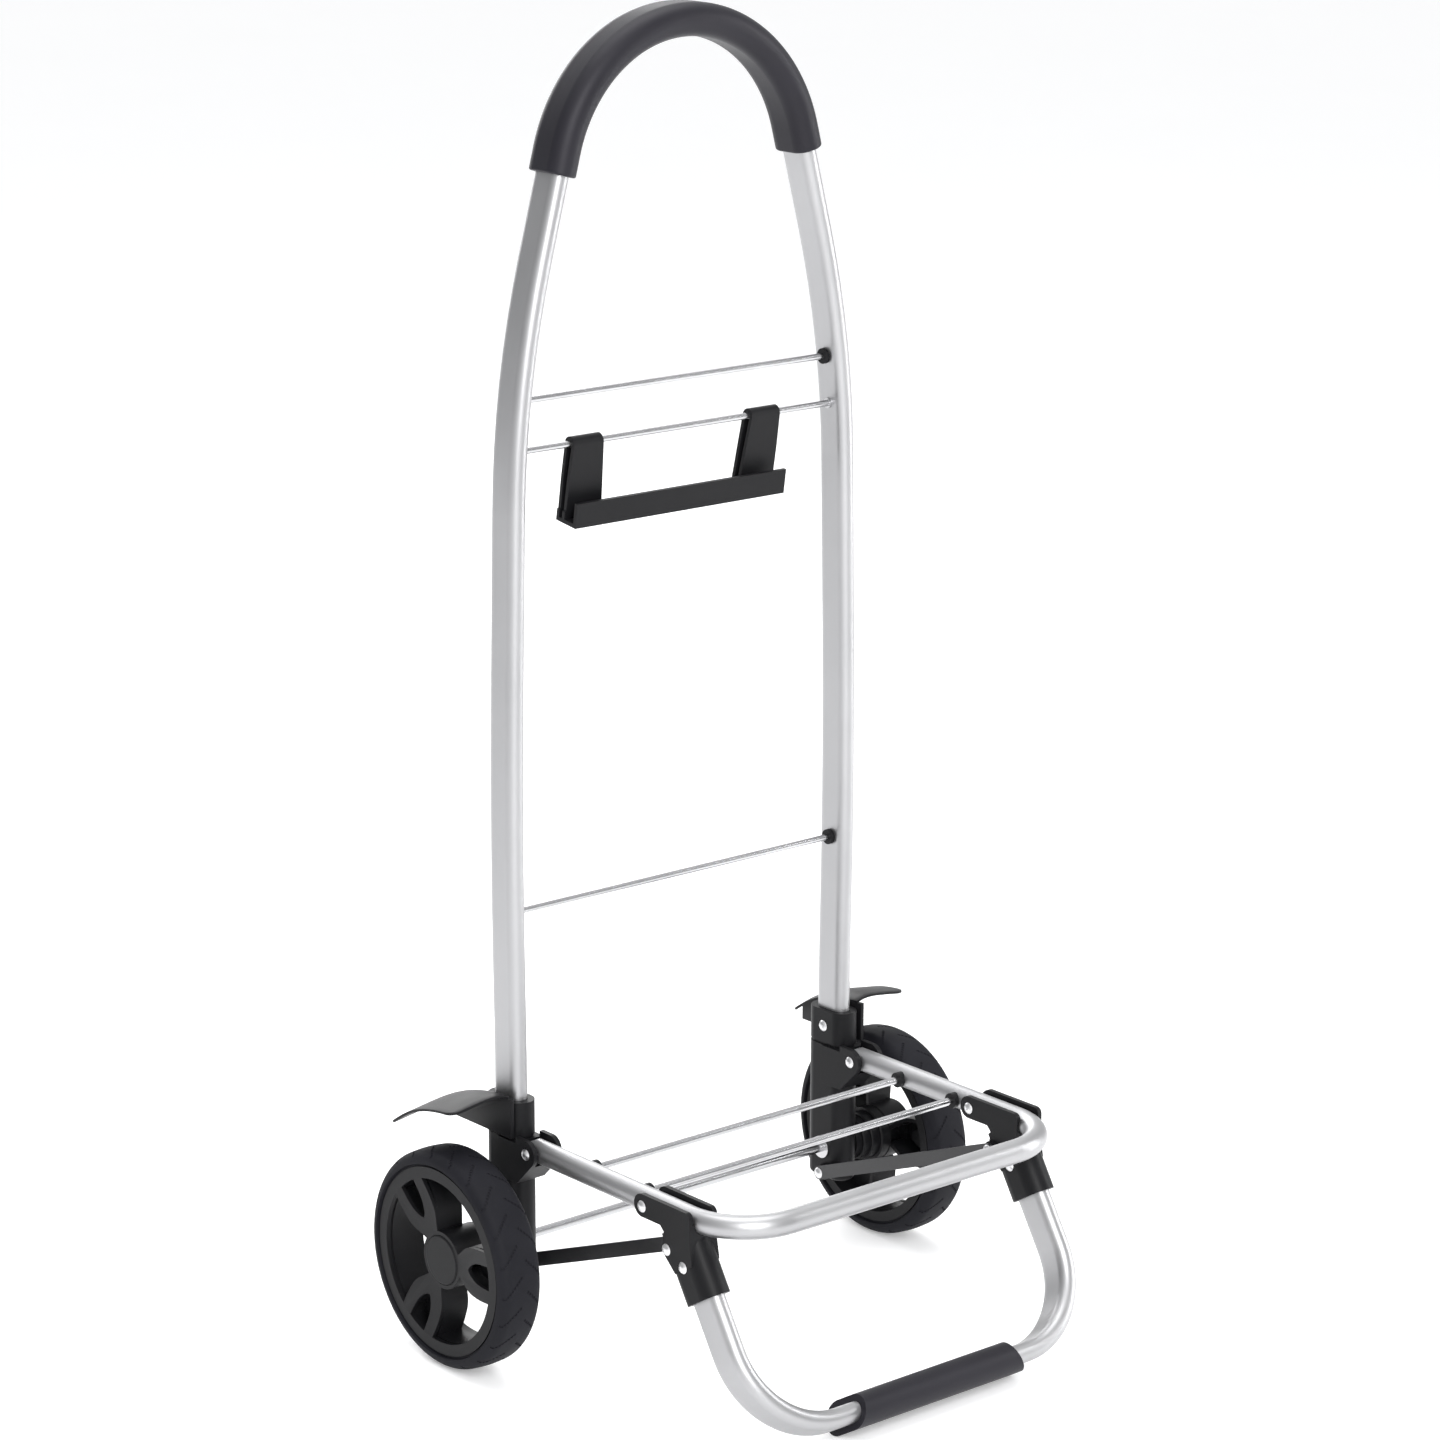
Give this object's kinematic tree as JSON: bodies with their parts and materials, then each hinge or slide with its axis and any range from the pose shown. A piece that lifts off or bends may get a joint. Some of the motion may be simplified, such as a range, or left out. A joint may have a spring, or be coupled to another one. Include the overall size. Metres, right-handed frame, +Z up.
{
  "type": "folding bag trolley",
  "caption": "Folding two-wheeled hand trolley for a bag: oval tube frame with a bow handle, platform that folds up, prop leg and hook rail.",
  "frame": {"origin": "on the floor, at the middle of the bounding box seen from above", "axes": "+Z up, +X to the right, the load platform reaches towards -Y"},
  "size_m": [0.47, 0.3938, 1.0045],
  "materials": {
    "tube": "satin anodised",
    "rod": "bright zinc",
    "rivet": "polished",
    "strut": "satin black",
    "plastic": "fine moulded grain",
    "grip": "soft foam skin",
    "tyre": "matt solid rubber"
  },
  "bodies": {
    "frame": {"handle_tube": "tube", "handle_grip": "grip", "upper_cross_rod": "rod", "hook_cross_rod": "rod", "middle_cross_rod": "rod", "rod_bushings": "plastic", "socket_left": "plastic", "socket_right": "plastic", "mudguard_left": "plastic", "mudguard_right": "plastic", "axle": "rod", "axle_washers": "rod", "axle_retainers": "rod", "collar_rivets": "rivet", "platform_pivot_rivets": "rivet", "strut_lower_rivets": "rivet"},
    "wheel_left": {"wheel_rim_left": "plastic", "tyre_left": "tyre", "hub_cap_left": "plastic", "hub_bush_left": "plastic"},
    "wheel_right": {"wheel_rim_right": "plastic", "tyre_right": "tyre", "hub_cap_right": "plastic", "hub_bush_right": "plastic"},
    "platform": {"platform_tube": "tube", "platform_rod_rear": "rod", "platform_rod_front": "rod", "platform_rod_bushings": "plastic", "arm_end_plugs": "plastic", "bracket_pivot_rivets": "rivet"},
    "leg": {"leg_bracket_left": "plastic", "leg_bracket_right": "plastic", "leg_tube": "tube", "foot_grip": "grip", "leg_rivets": "rivet", "strut_upper_rivets": "rivet"},
    "strut_left": {"strut_left": "strut", "strut_rivet_left": "rivet"},
    "strut_right": {"strut_right": "strut", "strut_rivet_right": "rivet"},
    "hook_rail": {"bag_hook_rail": "plastic"}
  },
  "joints": [
    {"name": "wheel_left_spin", "type": "hinge", "parent": "frame", "child": "wheel_left", "pos_m": [0, 0.11193, 0.085], "axis": [1, 0, 0], "continuous": true},
    {"name": "wheel_right_spin", "type": "hinge", "parent": "frame", "child": "wheel_right", "pos_m": [0, 0.11193, 0.085], "axis": [1, 0, 0], "continuous": true},
    {"name": "platform_fold", "type": "hinge", "parent": "frame", "child": "platform", "pos_m": [0, 0.07793, 0.166], "axis": [1, 0, 0], "range_deg": [-75, 0]},
    {"name": "leg_fold", "type": "hinge", "parent": "platform", "child": "leg", "pos_m": [0, -0.05907, 0.166], "axis": [1, 0, 0], "range_deg": [0, 113.2]},
    {"name": "strut_left_swing", "type": "hinge", "parent": "frame", "child": "strut_left", "pos_m": [0, 0.10743, 0.0655], "axis": [1, 0, 0], "range_deg": [-48.75, 0]},
    {"name": "strut_right_swing", "type": "hinge", "parent": "frame", "child": "strut_right", "pos_m": [0, 0.10743, 0.0655], "axis": [1, 0, 0], "range_deg": [-48.75, 0]},
    {"name": "hook_rail_swing", "type": "hinge", "parent": "frame", "child": "hook_rail", "pos_m": [0, 0.11193, 0.691], "axis": [1, 0, 0], "range_deg": [-75, 75]}
  ],
  "couplings": [
    {"joint": "leg_fold", "follows": "platform_fold", "ratio": -1.5092},
    {"joint": "strut_left_swing", "follows": "platform_fold", "ratio": 0.64994},
    {"joint": "strut_right_swing", "follows": "platform_fold", "ratio": 0.64994}
  ]
}
